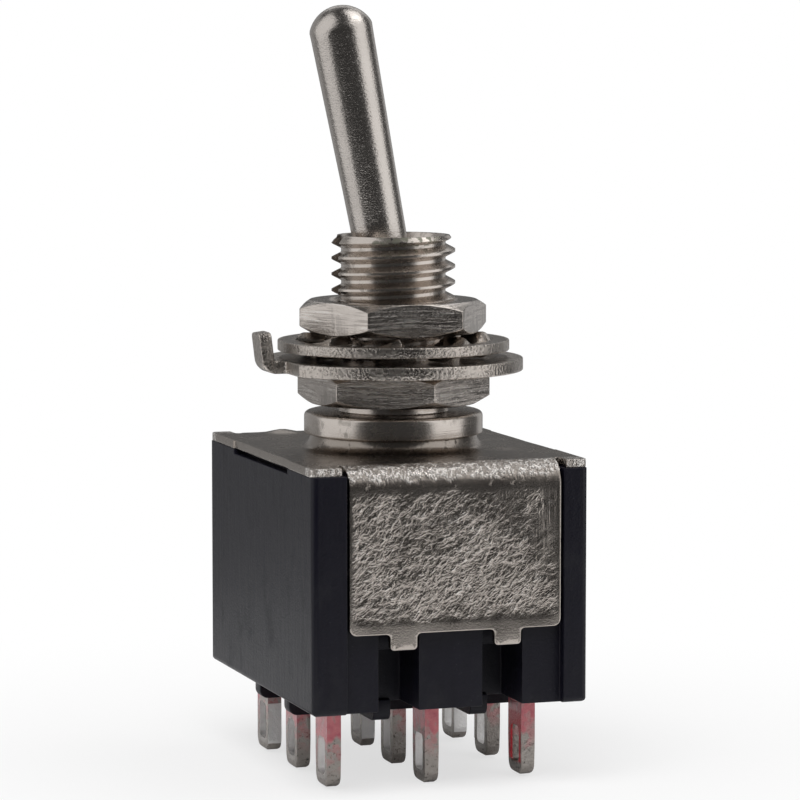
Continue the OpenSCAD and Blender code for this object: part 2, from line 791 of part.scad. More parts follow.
// Solder lug from the floor's top to its rounded tip, with its eye
module lug(drop) {
    lug_tip = case_bottom - drop;
    length = floor_z - lug_tip;
    tip_round = 0.6;
    thin_r = 0.18;
    difference() {
        translate([0, 0, lug_tip]) intersection() {
            along_x(2 * lug_w) translate([0, length / 2 + cut / 2])
                round_rect(lug_w, length + cut, tip_round);
            along_y(2 * lug_w) translate([0, length / 2 + cut / 2])
                round_rect(lug_t, length + cut, thin_r);
            translate([-lug_w, -lug_w, 0]) cube([2 * lug_w, 2 * lug_w, length]);
        }
        translate([0, 0, lug_tip + eye_lift + eye_l / 2])
            along_x(2 * lug_t) round_rect(eye_w, eye_l, eye_w / 2 - fit_gap);
    }
}

// Centre terminal: a bracket on the floor, its two cheeks notched for the rocker's pin
module common(pole) color([0.72, 0.70, 0.66]) translate([0, pole * pitch_y, 0]) {
    half_y = cheek_gap + cheek_t;
    lug(centre_lug_l);
    difference() {
        union() {
            translate([-bracket_half_x, -half_y, floor_z]) cube([2 * bracket_half_x, 2 * half_y, bracket_t]);
            for (side = [-1, 1]) translate([0, side * (cheek_gap + cheek_t / 2), 0]) along_y(cheek_t) {
                translate([0, rocker_z + cheek_rise - cheek_cap / 2])
                    round_rect(2 * bracket_half_x, cheek_cap, cheek_round);
                translate([-bracket_half_x, floor_z])
                    square([2 * bracket_half_x, rocker_lift + cheek_rise - cheek_cap / 2]);
            }
        }
        translate([0, 0, rocker_z]) rotate([90, 0, 0])
            cylinder(4 * half_y, r = rocker_pin_d / 2 + run_gap, center = true);
        translate([-rocker_pin_d / 2 - run_gap, -2 * half_y, rocker_z])
            cube([rocker_pin_d + 2 * run_gap, 4 * half_y, cut]);
    }
}

module common_front() common(-1);
module common_middle() common(0);
module common_back() common(1);

// Outer terminal: shoulders on the floor and a pad bent inwards under the rocker's contact
module throw_terminal(side, pole) color([0.72, 0.70, 0.66])
    translate([side * pitch_x, pole * pitch_y, 0]) {
        lug(lug_l);
        difference() {
            union() {
                translate([-lug_t / 2, -pad_w / 2, floor_z]) cube([lug_t, pad_w, pad_top - floor_z]);
                scale([side, 1]) translate([pad_in - pitch_x, -pad_w / 2, pad_top - pad_t])
                    cube([pitch_x - pad_in + lug_t / 2, pad_w, pad_t]);
            }
            translate([side * (touch_x - pitch_x), 0, pad_top - pad_t])
                cylinder(pad_t + cut, r = fixed_shank_r + fit_gap);
        }
    }

module throw_left_front() throw_terminal(-1, -1);
module throw_left_middle() throw_terminal(-1, 0);
module throw_left_back() throw_terminal(-1, 1);
module throw_right_front() throw_terminal(1, -1);
module throw_right_middle() throw_terminal(1, 0);
module throw_right_back() throw_terminal(1, 1);

// Silver rivets in the pads of the six outer terminals
module fixed_contacts() color([0.86, 0.85, 0.83])
    for (side = [-1, 1], pole = [-1 : 1]) translate([side * touch_x, pole * pitch_y, pad_top]) {
        cylinder(fixed_head_h, r = fixed_head_r);
        translate([0, 0, -pad_t]) cylinder(pad_t, r = fixed_shank_r);
    }

// Red sealant round the root of each lug, thinning down its faces
module lug_sealant() color([0.72, 0.27, 0.32])
    for (column = [-1 : 1], pole = [-1 : 1])
        translate([column * pitch_x, pole * pitch_y, case_bottom - seal_h]) difference() {
            sealant_skirt();
            translate([0, 0, -cut]) linear_extrude(seal_h + 2 * cut)
                square([lug_t + 2 * fit_gap, lug_w + 2 * fit_gap], center = true);
        }

module sealant_skirt() {
    thin = 0.06;
    creep = 0.14;
    steps = 3;
    for (i = [0 : steps - 1]) {
        spread = thin + creep * ((i + 1) / steps) ^ 2;
        translate([0, 0, i * seal_h / steps]) linear_extrude(seal_h - i * seal_h / steps)
            round_rect(lug_t + 2 * spread, lug_w + 2 * spread, spread);
    }
}

case();
cover();
bushing();
lower_nut();
locating_washer();
lock_washer();
upper_nut();
lever();
spring();
plunger();
rocker_front();
rocker_middle();
rocker_back();
moving_contacts_front();
moving_contacts_middle();
moving_contacts_back();
common_front();
common_middle();
common_back();
throw_left_front();
throw_left_middle();
throw_left_back();
throw_right_front();
throw_right_middle();
throw_right_back();
fixed_contacts();
lug_sealant();
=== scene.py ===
import math

import bmesh
import bpy
from mathutils import Matrix, Vector, noise


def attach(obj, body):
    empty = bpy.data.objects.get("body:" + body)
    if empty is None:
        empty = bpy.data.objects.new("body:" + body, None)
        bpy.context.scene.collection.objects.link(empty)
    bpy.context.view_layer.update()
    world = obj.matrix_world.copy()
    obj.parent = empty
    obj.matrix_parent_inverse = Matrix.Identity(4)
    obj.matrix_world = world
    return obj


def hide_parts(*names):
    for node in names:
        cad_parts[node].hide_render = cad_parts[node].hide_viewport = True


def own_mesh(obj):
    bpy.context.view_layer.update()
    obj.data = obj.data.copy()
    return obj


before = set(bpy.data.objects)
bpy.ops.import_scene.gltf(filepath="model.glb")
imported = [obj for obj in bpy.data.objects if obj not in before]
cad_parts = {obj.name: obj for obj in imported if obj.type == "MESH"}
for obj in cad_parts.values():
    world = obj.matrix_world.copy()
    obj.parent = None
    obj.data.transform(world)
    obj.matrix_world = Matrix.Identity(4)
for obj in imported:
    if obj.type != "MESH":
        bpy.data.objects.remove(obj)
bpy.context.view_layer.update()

# ---- Camera ----
# It stands in front, a little to the left and a little above, far off with a long lens.
# The switch fills the height of its square picture.
MM = 0.001
camera = bpy.data.objects.new("camera", bpy.data.cameras.new("camera"))
bpy.context.scene.collection.objects.link(camera)
bpy.context.scene.camera = camera
camera.data.sensor_width = 36
camera.data.lens = 172.4
camera.data.clip_start = 0.01
camera.data.clip_end = 30
camera.location = Vector((-57.586, -172.91, 18.647)) * MM
looked_at = Vector((0.335, 0, 0.478)) * MM
camera.rotation_mode = "QUATERNION"
camera.rotation_quaternion = (looked_at - camera.location).to_track_quat("-Z", "Y")
bpy.context.scene.view_settings.view_transform = "Standard"

# ---- Case ----
# Black moulding, open at the top, with the ribs that part the lugs under its floor.
# The mould leaves every outer edge slightly round and the faces with a faint grain.


class Wire:
    """A socket in a finish, with the arithmetic of values. With no socket it is the bare sheet."""

    def __init__(self, tree, socket=None):
        self.tree, self.socket = tree, socket

    def node(self, kind, settings=(), sockets=(), out=0):
        """Adds a node: its settings first, then the values or wires of its sockets."""
        made = self.tree.nodes.new("ShaderNode" + kind)
        for key, value in dict(settings).items():
            setattr(made, key, value)
        for key, value in dict(sockets).items():
            if isinstance(value, Wire):
                self.tree.links.new(value.socket, made.inputs[key])
            else:
                made.inputs[key].default_value = value
        return Wire(self.tree, made.outputs[out]) if made.outputs else None

    def maths(self, operation, *terms):
        return self.node("Math", {"operation": operation}, dict(enumerate(terms)))

    def __add__(self, other):
        return self.maths("ADD", self, other)

    def __sub__(self, other):
        return self.maths("SUBTRACT", self, other)

    def __rsub__(self, other):
        return self.maths("SUBTRACT", other, self)

    def __mul__(self, other):
        return self.maths("MULTIPLY", self, other)

    __radd__ = __add__
    __rmul__ = __mul__


def start_finish(name):
    """A new finish, and the place on the switch in millimetres to draw it by."""
    finish = bpy.data.materials.new(name)
    finish.use_nodes = True
    finish.node_tree.nodes.clear()
    sheet = Wire(finish.node_tree)
    place = sheet.node("TexCoord", out="Object")
    return finish, place.node("VectorMath", {"operation": "MULTIPLY"}, {0: place, 1: (1000, 1000, 1000)})


def along(place, axis):
    return place.node("SeparateXYZ", {}, {0: place}, out=axis)


def grain(place, scale, detail=2.0, stretch=None, roughness=0.5, warp=0.0):
    """Noise from 0 to 1, scale cells to the millimetre, drawn out along the axes by stretch."""
    if stretch:
        place = place.node("VectorMath", {"operation": "MULTIPLY"}, {0: place, 1: stretch})
    sockets = {"Vector": place, "Scale": scale, "Detail": detail}
    sockets.update({"Roughness": roughness, "Distortion": warp})
    return place.node("TexNoise", {}, sockets)


def step(value, low, high):
    """0 below low, 1 above high, smooth between; low may be the greater."""
    return value.node("MapRange", {"interpolation_type": "SMOOTHSTEP"}, {0: value, 1: low, 2: high})


def within(value, low, high, soft):
    """1 between low and high."""
    return step(value, low - soft, low + soft) * step(value, high + soft, high - soft)


def tint(mask, under, over):
    """The colour under where the mask is 0, over where it is 1."""
    return mask.node("Mix", {"data_type": "RGBA"}, {0: mask, 6: under, 7: over}, out=2)


def close_finish(place, sockets, height=None, depth=0.01):
    """Ends a finish with its shader, and a relief of that depth in millimetres."""
    if height is not None:
        bump = {"Height": height, "Distance": depth * MM, "Strength": 1.0}
        sockets = {**sockets, "Normal": place.node("Bump", {}, bump)}
    shader = place.node("BsdfPrincipled", {}, sockets)
    place.node("OutputMaterial", {}, {"Surface": shader})


def soften(node, reach, steps=2, below=99.0):
    """The mesh of a CAD node in millimetres, its sharp edges below a height rounded off."""
    shape = bmesh.new()
    shape.from_mesh(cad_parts[node].data)
    shape.transform(Matrix.Scale(1 / MM, 4))
    bmesh.ops.remove_doubles(shape, verts=shape.verts, dist=0.0005)
    bmesh.ops.dissolve_limit(shape, angle_limit=math.radians(0.5), verts=shape.verts, edges=shape.edges)
    sharp = [edge for edge in shape.edges
             if len(edge.link_faces) == 2 and edge.calc_face_angle() > math.radians(40)
             and all(end.co.z < below for end in edge.verts)]
    bmesh.ops.bevel(shape, geom=sharp, offset=reach, segments=steps, profile=0.5,
                    affect="EDGES", clamp_overlap=True)
    return shape


def fit(shape, name, body, nodes, finish, sharp=50):
    """Makes a piece of a shape in millimetres: it rides on a body and stands for CAD nodes."""
    shape.transform(Matrix.Scale(MM, 4))
    bmesh.ops.recalc_face_normals(shape, faces=shape.faces)
    mesh = bpy.data.meshes.new(name)
    shape.to_mesh(mesh)
    shape.free()
    mesh.materials.append(finish)
    mesh.shade_smooth()
    mesh.set_sharp_from_angle(angle=math.radians(sharp))
    piece = bpy.data.objects.new(name, mesh)
    bpy.context.scene.collection.objects.link(piece)
    piece.modifiers.new("even_shading", "WEIGHTED_NORMAL").keep_sharp = True
    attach(piece, body)
    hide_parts(*nodes)
    return piece


black_moulding, place = start_finish("black_moulding")
smear = grain(place, 1.1, 3, stretch=(3.0, 3.0, 0.35))
speck = grain(place, 9, 2)
rub = step(grain(place, 0.45, 4, stretch=(1.0, 1.0, 0.8), roughness=0.65), 0.50, 0.70)
dust = step(grain(place, 15, 1), 0.72, 0.78) * step(smear, 0.45, 0.7)
shade = tint(smear, (0.0026, 0.0024, 0.0062, 1), (0.0060, 0.0056, 0.0115, 1))
shade = tint(0.5 * rub, shade, (0.014, 0.014, 0.017, 1))
close_finish(
    place,
    {
        "Base Color": tint(0.7 * dust, shade, (0.06, 0.06, 0.065, 1)),
        "Roughness": 0.33 + 0.12 * smear + 0.08 * speck + 0.08 * rub,
        "Specular IOR Level": 0.26,
    },
    height=speck + 0.6 * smear,
    depth=0.014,
)
fit(soften("case", 0.09, 2), "moulded_case", "housing", ["case"], black_moulding)

# ---- Lugs ----
# Nine stamped brass blades, dipped in tin, with an eye for the wire in each.
# They stand in the floor of the case, and red lacquer from the sealing has run down some of them.
LUG_PITCH = 4.8
THROW_TIP = -16.96
COMMON_TIP = -17.06
EYE_OVER_TIP = 1.445
PUNCHED_EYE = (0.5, 0.825)
SQUARED_EYE = (0.56, 0.88)

tinned, place = start_finish("tinned_brass")
across, deep, up = along(place, "X"), along(place, "Y"), along(place, "Z")
pits = grain(place, 7, 3, roughness=0.6)
blotch = grain(place, 1.6, 2)
drip = grain(place, 1.3, 2, stretch=(1.0, 1.0, 0.25))
front_row = step(deep, -3.6, -4.0)
middle_row = within(deep, -1.2, 1.2, 0.1)
left_lugs = step(across, -3.0, -3.6)
right_lugs = step(across, 3.0, 3.6)
fall = -13.80 - 2.0 * (drip - 0.42) - 0.55 * front_row - 0.45 * left_lugs - 0.25 * middle_row
run = step(up, fall - 0.12, fall + 0.25)
thin_run = step(up, fall - 1.6, fall - 0.2) * step(grain(place, 2.4, 3), 0.44, 0.56)
scraped = step(grain(place, 3.2, 3, stretch=(1, 1, 0.6)), 0.34, 0.50)
from_column = across - LUG_PITCH * right_lugs + LUG_PITCH * left_lugs
from_pole = deep + LUG_PITCH * front_row - LUG_PITCH * step(deep, 3.6, 4.0)
side_face = step(from_column, -0.20, -0.30)
deep_run = (right_lugs * front_row * side_face
            * within(up, -16.35, -14.0, 0.1) * within(deep, -5.62, -3.9, 0.08))
# Inside the eyes the tin is painted nearly white, a painted highlight for the light that the eye walls
# catch; lacquer is kept out of them and they are rougher
eye_wall_highlight = (within(from_column, -0.33, 0.33, 0.02) * within(from_pole, -0.585, 0.60, 0.02)
            * within(up, -16.62, -14.60, 0.02) * (1 - right_lugs * front_row))
tin = tint(blotch, (0.25, 0.228, 0.21, 1), (0.44, 0.405, 0.375, 1))
tin = tint(step(pits, 0.56, 0.70), tin, (0.11, 0.10, 0.095, 1))
tin = tint(eye_wall_highlight, tin, (0.93, 0.92, 0.91, 1))
pink = tint(grain(place, 2.6, 3), (0.40, 0.035, 0.075, 1), (0.72, 0.24, 0.25, 1))
solid_run = run * (0.55 + 0.45 * scraped)
red_over = (1 - 0.85 * eye_wall_highlight) * run.maths("MAXIMUM", solid_run, 0.45 * thin_run)
with_pink = tint(red_over, tin, pink)
painted = run.maths("MAXIMUM", red_over, deep_run)
close_finish(
    place,
    {
        "Base Color": tint(deep_run, with_pink, (0.55, 0.004, 0.02, 1)),
        "Metallic": 1 - 0.9 * painted,
        "Roughness": 0.22 + 0.22 * pits + 0.25 * eye_wall_highlight,
        "Coat Weight": 0.4 * painted,
    },
    height=pits + 0.4 * grain(place, 13, 2),
    depth=0.035,
)
for pole, at_y in (("front", -LUG_PITCH), ("middle", 0.0), ("back", LUG_PITCH)):
    for column, tip in (("throw_left_", THROW_TIP), ("common_", COMMON_TIP), ("throw_right_", THROW_TIP)):
        lug = soften(column + pole, 0.07, 3, below=-12.5)
        eye_at = tip + EYE_OVER_TIP
        # The punch that cuts the eyes has nearly square corners
        for vert in lug.verts:
            y, z = vert.co.y - at_y, vert.co.z - eye_at
            if abs(y) < 0.62 and abs(z) < 0.95:
                turn = math.atan2(z / PUNCHED_EYE[1], y / PUNCHED_EYE[0])
                wide, tall = math.cos(turn), math.sin(turn)
                vert.co.y = at_y + math.copysign(SQUARED_EYE[0] * abs(wide) ** 0.38, wide)
                vert.co.z = eye_at + math.copysign(SQUARED_EYE[1] * abs(tall) ** 0.38, tall)
        fit(lug, "lug_" + column + pole, "housing", [column + pole], tinned)

# ---- Lacquer round the lugs ----
# Red sealing lacquer, brushed on round each lug where it leaves the floor.
# It stands up the lug as an uneven fillet and ends in a ragged lower line.
LACQUER_ROOT = -13.05
LUG_HALF = (0.31, 0.865)

red_lacquer, place = start_finish("red_lacquer")
cloud = grain(place, 1.8, 3)
lacquer = tint(cloud, (0.45, 0.07, 0.10, 1), (0.62, 0.25, 0.22, 1))
close_finish(
    place,
    {
        "Base Color": lacquer,
        "Roughness": 0.28 + 0.25 * grain(place, 5, 2),
        "Coat Weight": 0.3,
    },
    height=cloud,
    depth=0.04,
)


def skin(rows, first_to_last=False, shape=None):
    """A surface through rows of points, each row joined round and the rows joined in turn."""
    shape = shape or bmesh.new()
    made = [[shape.verts.new(point) for point in row] for row in rows]
    pairs = list(zip(made, made[1:] + made[:1] if first_to_last else made[1:]))
    for near, far in pairs:
        for i in range(len(near)):
            k = (i + 1) % len(near)
            shape.faces.new((near[i], near[k], far[k], far[i]))
    return shape


def pill(half_x, half_y):
    """Forty points round a rectangle with round corners."""
    points = []
    power = 2 / 3.2
    for i in range(40):
        turn = 2 * math.pi * i / 40
        x, y = math.cos(turn), math.sin(turn)
        points.append(Vector((half_x * abs(x) ** power * (1 if x > 0 else -1),
                              half_y * abs(y) ** power * (1 if y > 0 else -1), 0)))
    return points


collars = bmesh.new()
for lug_y in (-LUG_PITCH, 0.0, LUG_PITCH):
    for lug_x in (-LUG_PITCH, 0.0, LUG_PITCH):
        rows = []
        for share in (0.0, 0.1, 0.25, 0.42, 0.6, 0.78, 0.92, 1.0):
            stand = 0.22 * (1 - share) ** 1.8 + 0.045 * (1 - share ** 4)
            row = []
            for at in pill(0.34 + stand, 0.90 + stand):
                wobble = noise.noise(Vector((at.x * 1.7 + lug_x * 3, at.y * 1.7 + lug_y * 5, 0.3)))
                ripple = noise.noise(Vector((at.x * 3 + lug_x * 7, at.y * 3, share * 2 + lug_y)))
                drop = (0.46 + 0.22 * wobble) * share
                swell = 1 + 0.05 * ripple * (1 - share)
                row.append(Vector((lug_x + at.x * swell, lug_y + at.y * swell, LACQUER_ROOT - drop)))
            rows.append(row)
        on_lug = pill(*LUG_HALF)
        last = [Vector((lug_x + at.x, lug_y + at.y, rows[-1][i].z + 0.03)) for i, at in enumerate(on_lug)]
        first = [Vector((lug_x + at.x, lug_y + at.y, LACQUER_ROOT + 0.02)) for at in on_lug]
        skin([first] + rows + [last], first_to_last=True, shape=collars)
fit(collars, "lacquer_round_lugs", "housing", ["lug_sealant"], red_lacquer, sharp=70)

# ---- Contacts inside the case ----
# Three bronze seesaws on the centre terminals, each with two silver buttons riveted through it,
# and silver rivets in the pads of the outer terminals. They wear dull where they touch.
bronze, place = start_finish("rolled_bronze")
rolling = grain(place, 4, 3, stretch=(0.2, 1.0, 1.0))
close_finish(
    place,
    {
        "Base Color": tint(rolling, (0.55, 0.34, 0.16, 1), (0.68, 0.45, 0.24, 1)),
        "Metallic": 1.0,
        "Roughness": 0.22 + 0.2 * rolling,
    },
    height=rolling,
    depth=0.006,
)
silver, place = start_finish("contact_silver")
haze = grain(place, 3, 3)
close_finish(
    place,
    {
        "Base Color": tint(haze, (0.62, 0.60, 0.56, 1), (0.84, 0.83, 0.80, 1)),
        "Metallic": 1.0,
        "Roughness": 0.20 + 0.25 * haze,
    },
    height=grain(place, 12, 2),
    depth=0.004,
)
for pole in ("front", "middle", "back"):
    fit(soften("rocker_" + pole, 0.03, 1), "seesaw_" + pole, pole + "_rocker",
        ["rocker_" + pole], bronze)
    fit(soften("moving_contacts_" + pole, 0.03, 1), "buttons_" + pole, pole + "_rocker",
        ["moving_contacts_" + pole], silver)
fit(soften("fixed_contacts", 0.05, 2), "pad_rivets", "housing",
    ["fixed_contacts"], silver)

# ---- Plunger and spring ----
# A nylon moulding with a cross bar and three feet, and the steel coil that presses it down.
# The lever carries both of them across the seesaws.
nylon, place = start_finish("natural_nylon")
flow = grain(place, 0.8, 3, stretch=(1, 1, 0.5))
close_finish(
    place,
    {
        "Base Color": tint(flow, (0.70, 0.66, 0.56, 1), (0.80, 0.77, 0.69, 1)),
        "Roughness": 0.38 + 0.15 * flow,
        "Subsurface Weight": 0.15,
        "Subsurface Scale": 0.0006,
    },
    height=grain(place, 8, 2),
    depth=0.006,
)
fit(soften("plunger", 0.06, 2), "moulded_plunger", "plunger", ["plunger"], nylon)

spring_wire, place = start_finish("spring_wire")
drawing = grain(place, 6, 2, stretch=(1, 1, 3))
close_finish(
    place,
    {
        "Base Color": tint(drawing, (0.42, 0.40, 0.37, 1), (0.56, 0.54, 0.50, 1)),
        "Metallic": 1.0,
        "Roughness": 0.25 + 0.15 * drawing,
    },
    height=drawing,
    depth=0.004,
)
REST_TURN = math.radians(-11)
pivot = Vector((0, 0, 4.77))
tilt = Matrix.Translation(pivot) @ Matrix.Rotation(REST_TURN, 4, "Y")
BORE_TOP = -1.3
SPRING_FOOT = -3.45
SPRING_LENGTH = 2.0
SPRING_RADIUS = 0.63
WIRE_RADIUS = 0.12
SPRING_TURNS = 5
coil = []
for i in range(SPRING_TURNS * 32 + 1):
    turn = 2 * math.pi * i / 32
    outward = Vector((math.cos(turn), math.sin(turn), 0))
    middle = SPRING_RADIUS * outward + Vector((0, 0, SPRING_FOOT + SPRING_LENGTH * i / (SPRING_TURNS * 32)))
    coil.append([tilt @ (middle + WIRE_RADIUS * (math.cos(a) * outward + Vector((0, 0, math.sin(a)))))
                 for a in (2 * math.pi * k / 12 for k in range(12))])
coil = skin(coil)
bmesh.ops.holes_fill(coil, edges=coil.edges)
spring = fit(coil, "plunger_spring", "lever", ["spring"], spring_wire)
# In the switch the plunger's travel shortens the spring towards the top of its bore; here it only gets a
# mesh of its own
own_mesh(spring)

# ---- Cover ----
# One blank of thin steel, drawn up into a boss for the bushing and folded down in front and behind,
# then nickel plated. The dies left the flaps pebbled, and their prongs sit in the case's grooves.
PLATE_TOP = -1.66
SHEET = 0.4
PLATE_X, PLATE_Y = 6.70, 8.39
FLAP_LEFT, FLAP_RIGHT = -4.91, 5.39
FLAP_MIDDLE = 0.24
SLIT = 0.3
FOLD = 1.1
FOLD_AT = 7.35
FLAP_AT = FOLD_AT + FOLD * math.pi / 2
FLAP_END = FLAP_AT + 6.66
PRONG_END = FLAP_END + 0.75
BOSS_FOOT = 4.6
BOSS_TOP = -1.03
FLARE = 0.63


def rounded(corners, steps=4, closed=True):
    """The corners (x, y, radius) of an outline as points, each corner turned into an arc."""
    points = []
    for i, (x, y, radius) in enumerate(corners):
        here = Vector((x, y))
        if radius == 0 or (not closed and i in (0, len(corners) - 1)):
            points.append(here)
            continue
        back = Vector(corners[i - 1][:2]) - here
        ahead = Vector(corners[(i + 1) % len(corners)][:2]) - here
        half = back.angle(ahead) / 2
        trim = min(radius / math.tan(half), 0.49 * back.length, 0.49 * ahead.length)
        centre = here + (back.normalized() + ahead.normalized()).normalized() * trim / math.cos(half)
        start = here + back.normalized() * trim - centre
        end = here + ahead.normalized() * trim - centre
        turn = math.atan2(start.x * end.y - start.y * end.x, start.dot(end))
        for k in range(steps + 1):
            c, s = math.cos(turn * k / steps), math.sin(turn * k / steps)
            points.append(centre + Vector((c * start.x - s * start.y, s * start.x + c * start.y)))
    return points


def inset(loop, reach):
    """The loop moved sideways to its left, which is inward where it runs anticlockwise."""
    moved = []
    for i, here in enumerate(loop):
        back = (here - loop[i - 1]).normalized()
        ahead = (loop[(i + 1) % len(loop)] - here).normalized()
        side = Vector((-back.y - ahead.y, back.x + ahead.x)).normalized()
        moved.append(here + side * reach / max(0.3, side.dot(Vector((-back.y, back.x)))))
    return moved


def blank(loops, thickness, edge, open_loops=()):
    """A flat blank from z = 0 down, its outline and its holes rolled over at the rims."""
    shape = bmesh.new()
    rims = {0: [], 1: []}
    turns = [math.pi / 6 * k for k in range(4)]
    for number, loop in enumerate(loops):
        if number in open_loops:
            rows = [(0, 0), (0, thickness)]
        else:
            rows = [(edge * (1 - math.sin(a)), edge * (1 - math.cos(a))) for a in turns]
            rows += [(out, thickness - down) for out, down in reversed(rows)]
        made = [[shape.verts.new((*p, -down)) for p in inset(loop, out)] for out, down in rows]
        for near, far in zip(made, made[1:]):
            for i in range(len(near)):
                k = (i + 1) % len(near)
                shape.faces.new((near[i], far[i], far[k], near[k]))
        for side, row in ((0, made[0]), (1, made[-1])):
            for i in range(len(row)):
                pair = (row[i], row[(i + 1) % len(row)])
                rims[side].append(shape.edges.get(pair) or shape.edges.new(pair))
    for side in (0, 1):
        bmesh.ops.triangle_fill(shape, use_beauty=True, use_dissolve=False, edges=rims[side])
    return shape


def score(shape, axis, places, beyond=0.0):
    """Cuts the faces beyond a distance from the X axis along planes square to an axis, to let them bend."""
    normal = Vector([1 if i == axis else 0 for i in range(3)])
    for at in places:
        faces = [face for face in shape.faces if beyond == 0 or abs(face.verts[0].co.y) > beyond]
        edges = list({edge for face in faces for edge in face.edges})
        verts = list({vert for face in faces for vert in face.verts})
        bmesh.ops.bisect_plane(shape, geom=faces + edges + verts, dist=1e-5,
                               plane_co=normal * at, plane_no=normal)


half_outline = [
    (-PLATE_X + 0.07, -4.69, 0), (-PLATE_X, -4.76, 0), (-PLATE_X, -PLATE_Y, 0.3),
    (FLAP_LEFT - SLIT, -PLATE_Y, 0.12), (FLAP_LEFT - SLIT, -FOLD_AT, 0.13),
    (FLAP_LEFT, -FOLD_AT, 0.13), (FLAP_LEFT, -FLAP_END, 0.35),
    (-2.94, -FLAP_END, 0.2), (-2.94, -PRONG_END, 0.18), (-1.64, -PRONG_END, 0.18), (-1.64, -FLAP_END, 0.2),
    (2.12, -FLAP_END, 0.2), (2.12, -PRONG_END, 0.18), (3.42, -PRONG_END, 0.18), (3.42, -FLAP_END, 0.2),
    (FLAP_RIGHT, -FLAP_END, 0.35), (FLAP_RIGHT, -FOLD_AT, 0.13),
    (FLAP_RIGHT + SLIT, -FOLD_AT, 0.13), (FLAP_RIGHT + SLIT, -PLATE_Y, 0.12),
    (PLATE_X, -PLATE_Y, 0.3), (PLATE_X, -4.36, 0), (PLATE_X - 0.07, -4.29, 0),
]
outline = rounded(half_outline + [(-x, -y, r) for x, y, r in half_outline])
hole = [Vector((BOSS_FOOT * math.cos(a), BOSS_FOOT * math.sin(a)))
        for a in (-2 * math.pi * k / 128 for k in range(128))]
cover = blank([outline, hole], SHEET, 0.05, open_loops=(1,))
walls = [face for face in cover.faces
         if all(abs(v.co.xy.length - BOSS_FOOT) < 1e-3 for v in face.verts)]
bmesh.ops.delete(cover, geom=walls, context="FACES")
score(cover, 0, [k * 0.3 for k in range(-21, 22)])
score(cover, 1, [k * 0.3 for k in range(-54, 55)])
score(cover, 1, [s * (FOLD_AT + (FLAP_AT - FOLD_AT) * k / 14) for s in (-1, 1) for k in range(15)])
score(cover, 0, [k * 0.15 for k in range(-36, 37) if k % 2], beyond=FOLD_AT - 0.05)
score(cover, 1, [s * (FLAP_AT + 0.15 * k) for s in (-1, 1) for k in range(1, 45)], beyond=FLAP_AT - 0.05)


def stamped(x, z, side):
    """Depth of a flap's wrinkles, which run up to the right and fade at the borders and where worn."""
    across = x * -side
    field = 1.0
    for gap in (across + 4.85, 5.25 - across, z + 9.0, -2.8 - z):
        field *= min(1.0, max(0.0, gap / 0.4))
    drift = noise.noise(Vector((x * 0.45, 3.1, z * 0.45)))
    worn = min(1.0, max(0.0, 0.30 * across + 0.22 * z + 0.25 + 1.2 * drift))
    run, over = across * 0.82 + z * 0.57, z * 0.82 - across * 0.57
    coarse = noise.noise(Vector((run * 1.5, side, over * 2.2)))
    fine = noise.noise(Vector((run * 3.0, side, over * 3.8)))
    return 0.034 * field * (1 - 0.85 * worn) * (0.5 + 0.8 * (coarse + 0.7 * fine))


def fold_down(point):
    """Where a point of the flat blank lies once the flaps are folded and the plate has its dents."""
    x, reach, depth = point.x, abs(point.y), -point.z
    side = 1 if point.y > 0 else -1
    if reach > FOLD_AT + 1e-4 and abs(x + side * FLAP_MIDDLE) < 5.25:
        turn = min(reach - FOLD_AT, FLAP_AT - FOLD_AT) / FOLD
        y = FOLD_AT + (FOLD - depth) * math.sin(turn)
        z = PLATE_TOP - FOLD + (FOLD - depth) * math.cos(turn) - max(0.0, reach - FLAP_AT)
        dent = 0.012 * abs(noise.noise(Vector((x * 0.5, z * 0.5, side * 4)))) * min(1, turn)
        if depth < 1e-4:
            dent += max(0.0, stamped(x, z, side))
        return Vector((x, side * (y - dent), z))
    from_boss = min(1.0, max(0.0, (point.xy.length - BOSS_FOOT) / 1.2))
    lift = 0.018 * noise.noise(Vector((x * 0.35, point.y * 0.35, 1.7))) * from_boss - 0.006 * from_boss
    # A dent to the right in front of the boss, and a hump behind it to the left
    lift -= 0.075 * math.exp(-((x - 4.6) / 0.75) ** 2 - ((point.y + 3.4) / 0.5) ** 2)
    lift += 0.21 * math.exp(-((x + 3.5) / 0.75) ** 2 - ((point.y - 6.7) / 0.6) ** 2)
    return Vector((x, point.y, PLATE_TOP - depth + lift))


for vert in cover.verts:
    vert.co = fold_down(vert.co)


def flare(radius, degrees):
    """Distance from the axis and height of a point on the curve from the plate up to the boss."""
    turn = math.radians(degrees)
    return BOSS_FOOT - radius * math.sin(turn), BOSS_TOP - radius * math.cos(turn)


boss = [flare(FLARE, 9 * k) for k in range(1, 10)]
boss += [(3.96, BOSS_TOP - 0.03), (3.93, BOSS_TOP), (3.45, BOSS_TOP), (3.41, BOSS_TOP - 0.04),
         (3.41, BOSS_TOP - 0.36), (3.45, BOSS_TOP - 0.4), (3.65, BOSS_TOP - 0.4)]
boss += [flare(FLARE + SHEET, degrees) for degrees in (58, 50, 42, 34, 26)]
boss += [(4.2, PLATE_TOP - SHEET)]
edges = [edge for edge in cover.edges if len(edge.link_faces) == 1]
tops, unders = set(), set()
for edge in edges:
    for vert in edge.verts:
        (tops if vert.co.z > PLATE_TOP - SHEET / 2 else unders).add(vert)


def bearing(vert):
    """The direction of a vertex seen from the switch's axis."""
    return math.atan2(vert.co.y, vert.co.x)


def polar(radius, turn, z=0.0):
    """A point at a distance and bearing from the Z axis."""
    return Vector((radius * math.cos(turn), radius * math.sin(turn), z))


